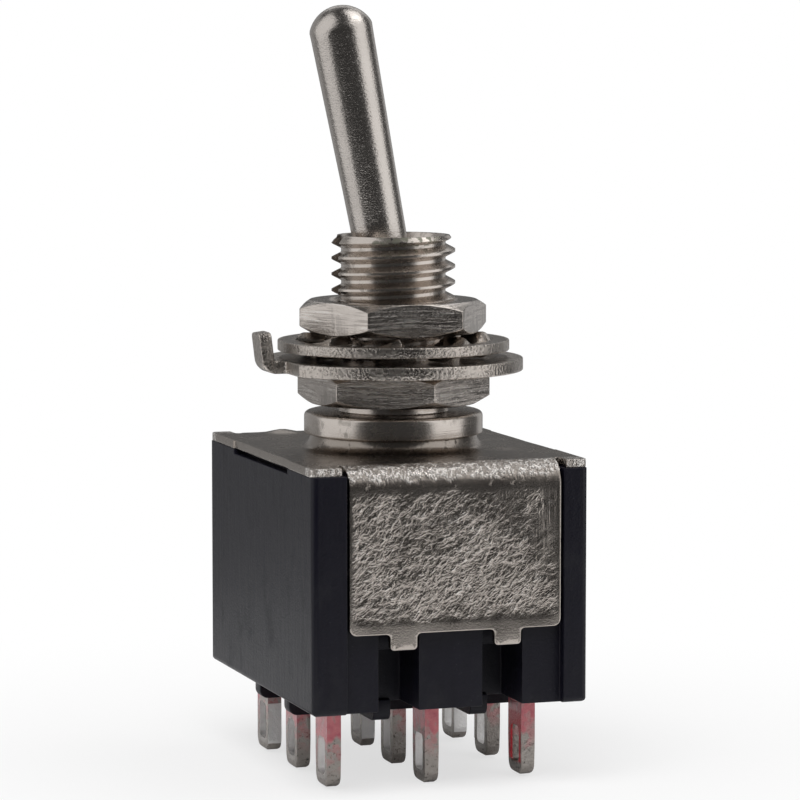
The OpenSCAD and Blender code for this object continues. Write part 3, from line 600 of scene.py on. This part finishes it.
tops, unders = sorted(tops, key=bearing), sorted(unders, key=bearing)
last = tops
for radius, height in boss:
    ring = [cover.verts.new(polar(radius, bearing(vert), height)) for vert in tops]
    for i in range(len(ring)):
        k = (i + 1) % len(ring)
        cover.faces.new((last[i], last[k], ring[k], ring[i]))
    last = ring
for i in range(len(last)):
    k = (i + 1) % len(last)
    cover.faces.new((last[i], last[k], unders[k], unders[i]))

plated_cover, place = start_finish("plated_steel_cover")
across, deep, up = along(place, "X"), along(place, "Y"), along(place, "Z")
on_flap = step(deep.maths("ABSOLUTE", deep), 8.20, 8.34) * step(up, -2.5, -2.9)
field = within(up, -8.80, -2.95, 0.22) * within(across, -4.72, 5.16, 0.16) * on_flap
ragged = up + 0.9 * (grain(place, 1.6, 2, stretch=(1.0, 1.0, 0.3)) - 0.5)
fold_band = within(ragged, -2.30, -1.45, 0.16) * step(deep.maths("ABSOLUTE", deep), 7.36, 7.50)
slanted = place.node("Mapping", {}, {"Vector": place, "Rotation": (0, math.radians(40), 0)})
worms = grain(slanted, 3.4, 2, stretch=(1, 1, 1.6), roughness=0.6, warp=0.5)
lumps = grain(place, 5.0, 2)
worn = step(2.6 * grain(place, 0.45, 3) + 0.30 * across + 0.22 * up, 0.9, 2.1) * on_flap
calm = step(grain(place, 0.55, 3), 0.40, 0.60)
pebble = worms * 0.75 + lumps * 0.35
dabs = grain(place, 3.4, 3, stretch=(1.5, 1.0, 0.8), roughness=0.7)
brush = grain(place, 5.5, 3, stretch=(2.2, 1.0, 0.06))
tarnish = grain(place, 0.55, 3)
speck = grain(place, 11, 2)
pits = step(grain(place, 3.4, 3, roughness=0.6), 0.60, 0.72)
plate = (1 - on_flap) * (1 - fold_band)
height = (field * (1 - 0.85 * worn) * (pebble - 0.55) * (2.1 + 2.3 * calm)
          + field * worn * (brush - 0.5) * 0.8 + fold_band * (dabs - 0.5) * 6.5
          + speck * 0.14 + plate * (0.5 * grain(place, 2.2, 3) - 0.8 * pits))
nickel = tint(tarnish, (0.40, 0.36, 0.325, 1), (0.56, 0.51, 0.465, 1))
# The hollows of the flaps' pebbling are painted darker: painted shade
hollow_shade = step(pebble, 0.58, 0.46) * field * (1 - worn)
nickel = tint(0.42 * hollow_shade, nickel, (0.15, 0.13, 0.115, 1))
# The crests of the pebbling and the dabs of the fold band are painted pale: painted highlights
ridge_highlights = 0.5 * step(pebble, 0.62, 0.74) * field + step(dabs, 0.46, 0.56) * fold_band
nickel = tint(0.9 * ridge_highlights, nickel, (0.90, 0.86, 0.82, 1))
# The flat top plate is painted darker than its flaps: painted shade for the dim room it reflects
nickel = tint(0.6 * plate, nickel, (0.27, 0.235, 0.205, 1))
nickel = tint(0.6 * pits * plate, nickel, (0.12, 0.105, 0.09, 1))
close_finish(
    place,
    {
        "Base Color": nickel,
        "Metallic": 1.0,
        "Roughness": 0.13 + 0.09 * tarnish + 0.03 * field + 0.05 * speck + 0.06 * plate,
    },
    height=height,
    depth=0.022,
)
fit(cover, "folded_cover", "housing", ["cover"], plated_cover, sharp=60)

# ---- Bushing ----
# Turned brass, nickel plated: a fine thread with a keyway down its left side, a collar that sits on
# the boss, and a foot staked over under the cover. The lever's ball turns in a seat inside it.
THREAD = 2.95
GROOVE = 0.46
PITCH = 0.762
THREAD_START = 0.1
NECK_TOP = 0.36
CHAMFER_FROM = 8.02
RIM = 8.4
NECK = 2.6
KEY_FLOOR = 2.53
KEY_HALF = 0.5

turned_nickel, place = start_finish("turned_nickel")
up = along(place, "Z")
rings = grain(place, 1.0, 3, stretch=(0.6, 0.6, 14.0))
dirt = step(grain(place, 1.7, 3), 0.56, 0.70)
low_rim = step(along(place, "Y"), -1.9, -2.4) * step(up, 7.92, 8.05)
deposit = step(grain(place, 2.6, 3), 0.47, 0.56) * low_rim
nickel = tint(grain(place, 0.9, 2), (0.54, 0.49, 0.445, 1), (0.66, 0.605, 0.56, 1))
nickel = tint(0.5 * dirt, nickel, (0.24, 0.22, 0.19, 1))
close_finish(
    place,
    {
        "Base Color": tint(0.7 * deposit, nickel, (0.20, 0.21, 0.15, 1)),
        "Metallic": 1.0,
        "Roughness": 0.19 + 0.12 * rings + 0.12 * dirt + 0.3 * deposit,
    },
    height=rings + 0.5 * grain(place, 9, 2),
    depth=0.006,
)


def thread_radius(phase):
    """Radius of the thread's form at a share of the pitch, the crest at 0."""
    away = abs((phase + 0.5) % 1.0 - 0.5)
    slope = min(1.0, max(0.0, (away - 0.07) / (0.40 - 0.07)))
    soft = slope * slope * (3 - 2 * slope)
    return THREAD - GROOVE * (0.75 * slope + 0.25 * soft)


def limit_radius(z):
    """Radius that the ends of the thread run out to: the neck below, the chamfered rim above."""
    return min(NECK + max(0.0, z - NECK_TOP) * 1.4, THREAD - max(0.0, z - CHAMFER_FROM) * 0.71)


phases = [0, 0.04, 0.07, 0.10, 0.16, 0.22, 0.28, 0.33, 0.37, 0.40, 0.45]
phases += [0.5] + [1 - p for p in reversed(phases[1:])]
columns = [("angle", math.radians(-169 + 338 * k / 150)) for k in range(151)]
columns += [("wall", KEY_HALF), ("floor", KEY_HALF), ("floor", 0.25), ("floor", 0.0),
            ("floor", -0.25), ("floor", -KEY_HALF), ("wall", -KEY_HALF)]


def on_column(column, radius, z):
    """A point of the bushing's outside: on the thread, or on a wall or the floor of the keyway."""
    kind, value = column
    if kind == "angle":
        return polar(radius, value, z)
    x = math.sqrt(max(0.0, radius * radius - value * value))
    if kind == "floor" and z > 0.42:
        x = min(x, KEY_FLOOR)
    return Vector((-x, value, z))


def column_bearing(column):
    """The direction of a column from the bushing's axis, on the thread's crests."""
    kind, value = column
    return value if kind == "angle" else math.pi - math.asin(value / THREAD)


def outside(column):
    """The thread at one column, as heights and radii from below the neck to above the rim."""
    turn = column_bearing(column) % (2 * math.pi)
    for cycle in range(-1, 13):
        for phase in phases:
            here = PITCH * (cycle + phase + turn / (2 * math.pi))
            yield THREAD_START + here, thread_radius(phase)


strands = []
for column in columns:
    strand = []
    for z, radius in outside(column):
        z = min(RIM, max(NECK_TOP, z))
        widest = limit_radius(z)
        fade = max(0.0, min(1.0, (RIM - z) / 0.30, (z - NECK_TOP) / 0.15))
        strand.append(on_column(column, widest - fade * max(0.0, widest - radius), z))
    strands.append(strand)
bushing = bmesh.new()
grid = [[bushing.verts.new(p) for p in strand] for strand in strands]
for number, strand in enumerate(grid):
    after = (number + 1) % len(grid)
    beside = grid[after]
    # Where the bearing starts again from zero, the helix meets itself one pitch on
    here, there = (column_bearing(columns[n]) % (2 * math.pi) for n in (number, after))
    jump = len(phases) if here > there + 1 else 0
    for k in range(len(strand) - 1 - jump):
        m = k + jump
        bushing.faces.new((strand[k], beside[m], beside[m + 1], strand[k + 1]))
inner = rounded(
    [(NECK, NECK_TOP, 0), (NECK, 0, 0.06), (4.27, 0, 0.22), (4.27, BOSS_TOP, 0.06), (3.38, BOSS_TOP, 0.04),
     (3.38, -1.43, 0.02), (3.55, -1.43, 0.03), (3.55, -1.73, 0.08), (2.70, -1.73, 0.05), (2.70, -1.43, 0.3),
     (1.93, 2.27, 0.2), (1.93, 4.77, 0.2), (1.86, 5.3, 0.2), (1.62, 5.82, 0.05), (1.62, 5.98, 0.1),
     (2.165, RIM - 0.62, 0.04), (2.24, RIM - 0.46, 0.1), (2.50, RIM, 0.05), (2.66, RIM, 0)],
    steps=5, closed=False)
rows = [[on_column(column, NECK, NECK_TOP) for column in columns]]
for radius, z in inner[1:-1]:
    rows.append([polar(radius, column_bearing(column), z) for column in columns])
rows.append([on_column(column, limit_radius(RIM), RIM) for column in columns])
skin(rows, shape=bushing)
bmesh.ops.remove_doubles(bushing, verts=bushing.verts, dist=1e-4)
bmesh.ops.dissolve_degenerate(bushing, edges=bushing.edges, dist=1e-4)
fit(bushing, "threaded_bushing", "housing", ["bushing"], turned_nickel, sharp=48)

# ---- Nuts ----
# Two thin hex nuts cut from bar, chamfered on both faces and nickel plated.
# The lower one was faced in a lathe and keeps wavy turning lines on its flats.
NUT_HEIGHT = 1.55
NUT_CORNER = 4.6188
NUT_CROWN = 3.98
for name, level, turn, wave, turned in (
    ("lower_nut", 0.42, 36.2, 1.2, 0.18),
    ("upper_nut", 3.778, 56.7, 0.4, 0.13),
):
    finish, place = start_finish("plated_" + name)
    lines = grain(place, 1.0, 4, stretch=(0.5, 0.5, 9.0), warp=wave, roughness=0.6)
    upright = grain(place, 1.2, 3, stretch=(5.0, 5.0, 0.4))
    patch = step(turned + grain(place, 0.35, 2), 0.42, 0.62)
    marks = lines * patch + upright * (1 - patch) * 0.7
    dull = grain(place, 0.9, 3)
    colour = tint(dull, (0.52, 0.475, 0.435, 1), (0.68, 0.625, 0.58, 1))
    bright = step(marks, 0.54 - 0.08 * turned, 0.66 - 0.08 * turned)
    colour = tint(0.6 * bright, colour, (0.86, 0.82, 0.78, 1))
    close_finish(
        place,
        {
            "Base Color": tint(0.5 * step(marks, 0.50, 0.36), colour, (0.24, 0.22, 0.20, 1)),
            "Metallic": 1.0,
            "Roughness": 0.17 + 0.09 * bright + 0.09 * dull,
        },
        height=marks + 0.4 * grain(place, 9, 2),
        depth=0.020 + 0.07 * turned,
    )
    bearings = [math.radians(turn + 60 * k) for k in range(6)]
    hexagon = [(NUT_CORNER * math.cos(a), NUT_CORNER * math.sin(a), 0.07) for a in bearings]
    around = []
    corners = rounded(hexagon, steps=4)
    for i, here in enumerate(corners):
        ahead = corners[(i + 1) % len(corners)]
        pieces = 14 if (ahead - here).length > 1 else 1
        around += [here.lerp(ahead, k / pieces) for k in range(pieces)]
    rows = []
    for here in around:
        far = here.length
        cone = (far - NUT_CROWN) * math.tan(math.radians(30))
        section = rounded(
            [(2.96, 0.2, 0), (3.16, 0, 0.03), (NUT_CROWN, 0, 0.04),
             (far, cone, 0.045), (far, NUT_HEIGHT - cone, 0.045),
             (NUT_CROWN, NUT_HEIGHT, 0.04), (3.16, NUT_HEIGHT, 0.03), (2.96, NUT_HEIGHT - 0.2, 0)], steps=3)
        rows.append([Vector((*(here.normalized() * radius), level + z)) for radius, z in section])
    fit(skin(rows, first_to_last=True), "hex_" + name, "housing", [name], finish, sharp=48)

# ---- Washers ----
# The locating washer is punched from sheet: a key in the bushing's keyway and one tab bent up.
# The lock washer above it is a ring with eight inner teeth, twisted so that their edges bite.
punched_steel, place = start_finish("punched_steel")
up = along(place, "Z")
in_plan = place.node("VectorMath", {"operation": "MULTIPLY"}, {0: place, 1: (1, 1, 0)})
from_axis = place.node("VectorMath", {"operation": "LENGTH"}, {0: in_plan}, out="Value")
edge_on = step(from_axis, 5.30, 5.45)
shear = grain(place, 1.6, 3, stretch=(3.5, 3.5, 0.5))
crumble = grain(place, 8.5, 2, roughness=0.5)
torn = step(grain(place, 0.5, 2), 0.40, 0.60)
edge_marks = 0.7 * shear * (1 - torn) + crumble * (0.6 + 0.4 * torn)
worn = grain(place, 0.8, 3)
colour = tint(worn, (0.46, 0.415, 0.375, 1), (0.62, 0.57, 0.525, 1))
close_finish(
    place,
    {
        "Base Color": tint(0.55 * step(crumble, 0.52, 0.62) * edge_on, colour, (0.20, 0.18, 0.16, 1)),
        "Metallic": 1.0,
        "Roughness": 0.18 + 0.10 * worn + 0.04 * edge_on,
    },
    height=edge_on * edge_marks + 0.3 * crumble * (1 - edge_on),
    depth=0.060,
)
LOCATOR_LEVEL = 2.27
LOCATOR_SHEET = 0.6
HOLE_RADIUS = 3.07
KEY_EDGE = 0.38
TAB_EDGE = 0.7
BEND_FROM = -6.0
BEND = 0.42
BEND_TURN = math.radians(83)
start = math.atan2(2.74, -5.55)
arc = [-start + 2 * start * k / 96 for k in range(1, 96)]
arc = [(6.19 * math.cos(a), 6.19 * math.sin(a), 0) for a in arc]
outline = rounded(
    [(-5.55, -2.74, 0.12)] + arc + [(-5.55, 2.74, 0.12), (-5.55, TAB_EDGE, 0.18), (-7.89, TAB_EDGE, 0.25),
                                    (-7.89, -TAB_EDGE, 0.25), (-5.55, -TAB_EDGE, 0.18)])
key_turn = math.asin(KEY_EDGE / HOLE_RADIUS)
sweep = [math.pi - key_turn - (2 * math.pi - 2 * key_turn) * k / 80 for k in range(81)]
hole = [polar(HOLE_RADIUS, a).xy for a in sweep] + [Vector((-2.65, -KEY_EDGE)), Vector((-2.65, KEY_EDGE))]
locator = blank([outline, hole], LOCATOR_SHEET, 0.07)
score(locator, 0, [BEND_FROM - 0.62 * k / 8 for k in range(9)])
for vert in locator.verts:
    beyond = BEND_FROM - vert.co.x
    out = vert.co.z + LOCATOR_SHEET / 2
    if beyond > 0 and abs(vert.co.y) < 1:
        turn = min(beyond / BEND, BEND_TURN)
        straight = max(0.0, beyond - BEND * BEND_TURN)
        vert.co.x = BEND_FROM - (BEND - out) * math.sin(turn) - straight * math.cos(turn)
        vert.co.z = BEND - (BEND - out) * math.cos(turn) + straight * math.sin(turn)
    else:
        vert.co.z = out
    vert.co.z += LOCATOR_LEVEL
fit(locator, "tabbed_washer", "housing", ["locating_washer"], punched_steel, sharp=48)

RING_MID = 3.174
RING_HALF = 0.25
TOOTH_HALF = 0.775
ring = rounded([(4.6, -RING_HALF, 0.05), (5.53, -RING_HALF, 0.06),
                (5.53, RING_HALF, 0.06), (4.6, RING_HALF, 0.05)], steps=3)
lock = skin([[polar(r, 2 * math.pi * k / 144, RING_MID + z) for r, z in ring] for k in range(144)],
            first_to_last=True)
section = rounded([(u * TOOTH_HALF, v * RING_HALF, 0.05) for u, v in ((-1, -1), (1, -1), (1, 1), (-1, 1))],
                  steps=2)
for tooth in range(8):
    swing = Matrix.Rotation(math.radians(45 * (tooth + 0.5)), 4, "Z")
    rows = []
    for k in range(13):
        reach = 4.78 - (4.78 - 3.2) * k / 12
        share = min(1.0, max(0.0, (4.72 - reach) / 0.45))
        twist = Matrix.Rotation(math.radians(30) * share * share * (3 - 2 * share), 4, "X")
        middle = Vector((reach, 0, RING_MID))
        rows.append([swing @ (middle + twist @ Vector((0, u, v))) for u, v in section])
    skin(rows, shape=lock)
bmesh.ops.holes_fill(lock, edges=lock.edges)
fit(lock, "toothed_washer", "housing", ["lock_washer"], punched_steel, sharp=48)

# ---- Lever ----
# Turned brass bat in one piece with its pivot ball and side pins, nickel plated and polished.
# Its hollow shank takes the spring and the plunger's stem.
polished_nickel, place = start_finish("polished_nickel")
hair = grain(place, 7.0, 2, stretch=(1.0, 1.0, 2.2))
scuff = grain(place, 1.3, 4, stretch=(0.8, 0.8, 6.0), roughness=0.7, warp=0.5)
bloom = grain(place, 0.5, 2)
pricks = step(grain(place, 6.5, 2, stretch=(1.0, 1.0, 1.7)), 0.66, 0.74)
nickel = tint(bloom, (0.54, 0.50, 0.465, 1), (0.65, 0.605, 0.565, 1))
close_finish(
    place,
    {
        "Base Color": tint(0.5 * pricks, nickel, (0.90, 0.87, 0.84, 1)),
        "Metallic": 1.0,
        "Roughness": 0.17 + 0.10 * scuff + 0.04 * bloom + 0.20 * pricks,
    },
    height=hair + 0.6 * scuff,
    depth=0.014,
)
BALL = 1.9
BORE = 0.85
SHANK = 1.35
SHANK_END = -5.6
DOME_FROM = 13.72
DOME_RISE = 1.03
DOME_FOOT = 1.5
dome_radius = (DOME_RISE ** 2 + DOME_FOOT ** 2) / (2 * DOME_RISE)
dome = []
for k in range(25):
    turn = math.asin(1.47 / dome_radius) * (1 - k / 24)
    z = DOME_FROM + DOME_RISE - dome_radius + dome_radius * math.cos(turn)
    dome.append((dome_radius * math.sin(turn), z))
shank = rounded(
    [(BORE, BORE_TOP, 0), (BORE, SHANK_END, 0.03), (SHANK, SHANK_END, 0.12), (SHANK, -1.2, 0)],
    steps=4, closed=False)
ball = [math.radians(45.3 + (180 - 45.3 - 41) * k / 28) for k in range(29)]
ball = [(BALL * math.sin(a), -BALL * math.cos(a)) for a in ball]
stem = [(1.28, 1.5), (1.27, 1.8), (1.28, 2.6), (1.33, 6.0), (1.42, 10.0), (1.49, 13.4), (1.50, 13.66),
        (1.492, 13.70)]
profile = [(0, BORE_TOP)] + [tuple(p) for p in shank] + ball + stem + dome
lever = skin([[tilt @ polar(r, 2 * math.pi * k / 128, z) for k in range(128)] for r, z in profile])
bmesh.ops.remove_doubles(lever, verts=lever.verts, dist=1e-4)
pin = rounded([(0, 1.2, 0), (0.5, 1.2, 0), (0.5, 2.24, 0.06), (0, 2.24, 0)], steps=3, closed=False)
around_pin = [2 * math.pi * k / 40 for k in range(40)]
for end in (-1, 1):
    rows = [[tilt @ Vector((r * math.cos(a), end * y, r * math.sin(a))) for a in around_pin]
            for r, y in pin]
    skin(rows, shape=lever)
bmesh.ops.remove_doubles(lever, verts=lever.verts, dist=1e-4)
fit(lever, "bat_lever", "lever", ["lever"], polished_nickel, sharp=40)

# ---- Floor and light ----
# A round pale table and a dim room, so that the plating shows dark between its bright bands. Tall soft
# boxes stand at both sides, dim ones behind, one high to the right; a high lamp, which the plating
# doesn't show, lights the moulded and painted surfaces.
pale_floor, place = start_finish("pale_floor")
paths = place.node("LightPath", out="Is Camera Ray") + place.node("LightPath", out="Is Transmission Ray")
away = step(place.node("VectorMath", {"operation": "LENGTH"}, {0: place}, out="Value"), 12.0, 42.0)
greyer = place.node("BsdfDiffuse", {}, {"Color": (0.78, 0.78, 0.78, 1)})
paler = place.node("BsdfDiffuse", {}, {"Color": (0.80, 0.80, 0.80, 1)})
dull = place.node("MixShader", {}, {0: grain(place, 0.02, 2), 1: greyer, 2: paler})
shown = paths + 0.1 * place.node("LightPath", out="Is Glossy Ray")
glow = place.node("Emission", {}, {"Color": (1, 1, 1, 1), "Strength": 1.0})
both = place.node("MixShader", {}, {0: (0.68 + 0.32 * away) * shown, 1: dull, 2: glow})
place.node("OutputMaterial", {}, {"Surface": both})
table = bmesh.new()
bmesh.ops.create_circle(table, cap_ends=True, segments=96, radius=0.048)
mesh = bpy.data.meshes.new("floor")
table.to_mesh(mesh)
table.free()
mesh.materials.append(pale_floor)
floor = bpy.data.objects.new("floor", mesh)
floor.location.z = COMMON_TIP * MM
bpy.context.scene.collection.objects.link(floor)

room = bpy.data.worlds.new("room")
bpy.context.scene.world = room
room.use_nodes = True
room.node_tree.nodes.clear()
air = Wire(room.node_tree)
toward = air.node("TexCoord", out="Generated")
to_back = {0: toward, 1: (0.316, 0.949, 0.0)}
behind = step(air.node("VectorMath", {"operation": "DOT_PRODUCT"}, to_back, out="Value"), 0.2, 0.95)
backdrop = air.node("LightPath", out="Is Camera Ray") + air.node("LightPath", out="Is Transmission Ray")
backdrop = backdrop + air.node("LightPath", out="Is Glossy Ray") * (0.01 + 0.09 * behind)
plain = air.node("Background", {}, {"Color": (1, 1, 1, 1), "Strength": 0.035})
white = air.node("Background", {}, {"Color": (1, 1, 1, 1), "Strength": 1.0})
air.node("OutputWorld", {}, {"Surface": air.node("MixShader", {}, {0: backdrop, 1: plain, 2: white})})


def soft_box(name, bearing_deg, height_deg, distance, width, tall, brightness):
    """A soft box of a surface brightness; its bearing runs from the camera's side, to the right."""
    lamp = bpy.data.lights.new(name, "AREA")
    lamp.shape = "RECTANGLE"
    lamp.size, lamp.size_y = width, tall
    lamp.energy = brightness * math.pi * width * tall
    box = bpy.data.objects.new(name, lamp)
    turn = math.radians(251.5 + bearing_deg)
    rise = math.radians(height_deg)
    box.location = distance * polar(math.cos(rise), turn, math.sin(rise))
    box.rotation_mode = "QUATERNION"
    box.rotation_quaternion = (-box.location).to_track_quat("-Z", "Y")
    box.visible_camera = False
    bpy.context.scene.collection.objects.link(box)
    return box


# Bearing and height in degrees, then distance, width and height in metres, then brightness
soft_box("left_box", -79, 22, 0.45, 0.58, 0.96, 0.80)
soft_box("right_box", 75, 22, 0.45, 0.45, 0.96, 1.0)
soft_box("rear_left_box", -140, 8, 0.45, 0.42, 0.44, 0.22)
soft_box("rear_right_box", 151, 0, 0.45, 0.20, 0.40, 0.36)
soft_box("back_box", 176, 34, 0.50, 0.36, 0.18, 0.6)
soft_box("top_right_box", 120, 62, 0.50, 0.34, 0.30, 1.5)
soft_box("high_lamp", -12, 60, 0.50, 0.34, 0.34, 5.6).visible_glossy = False
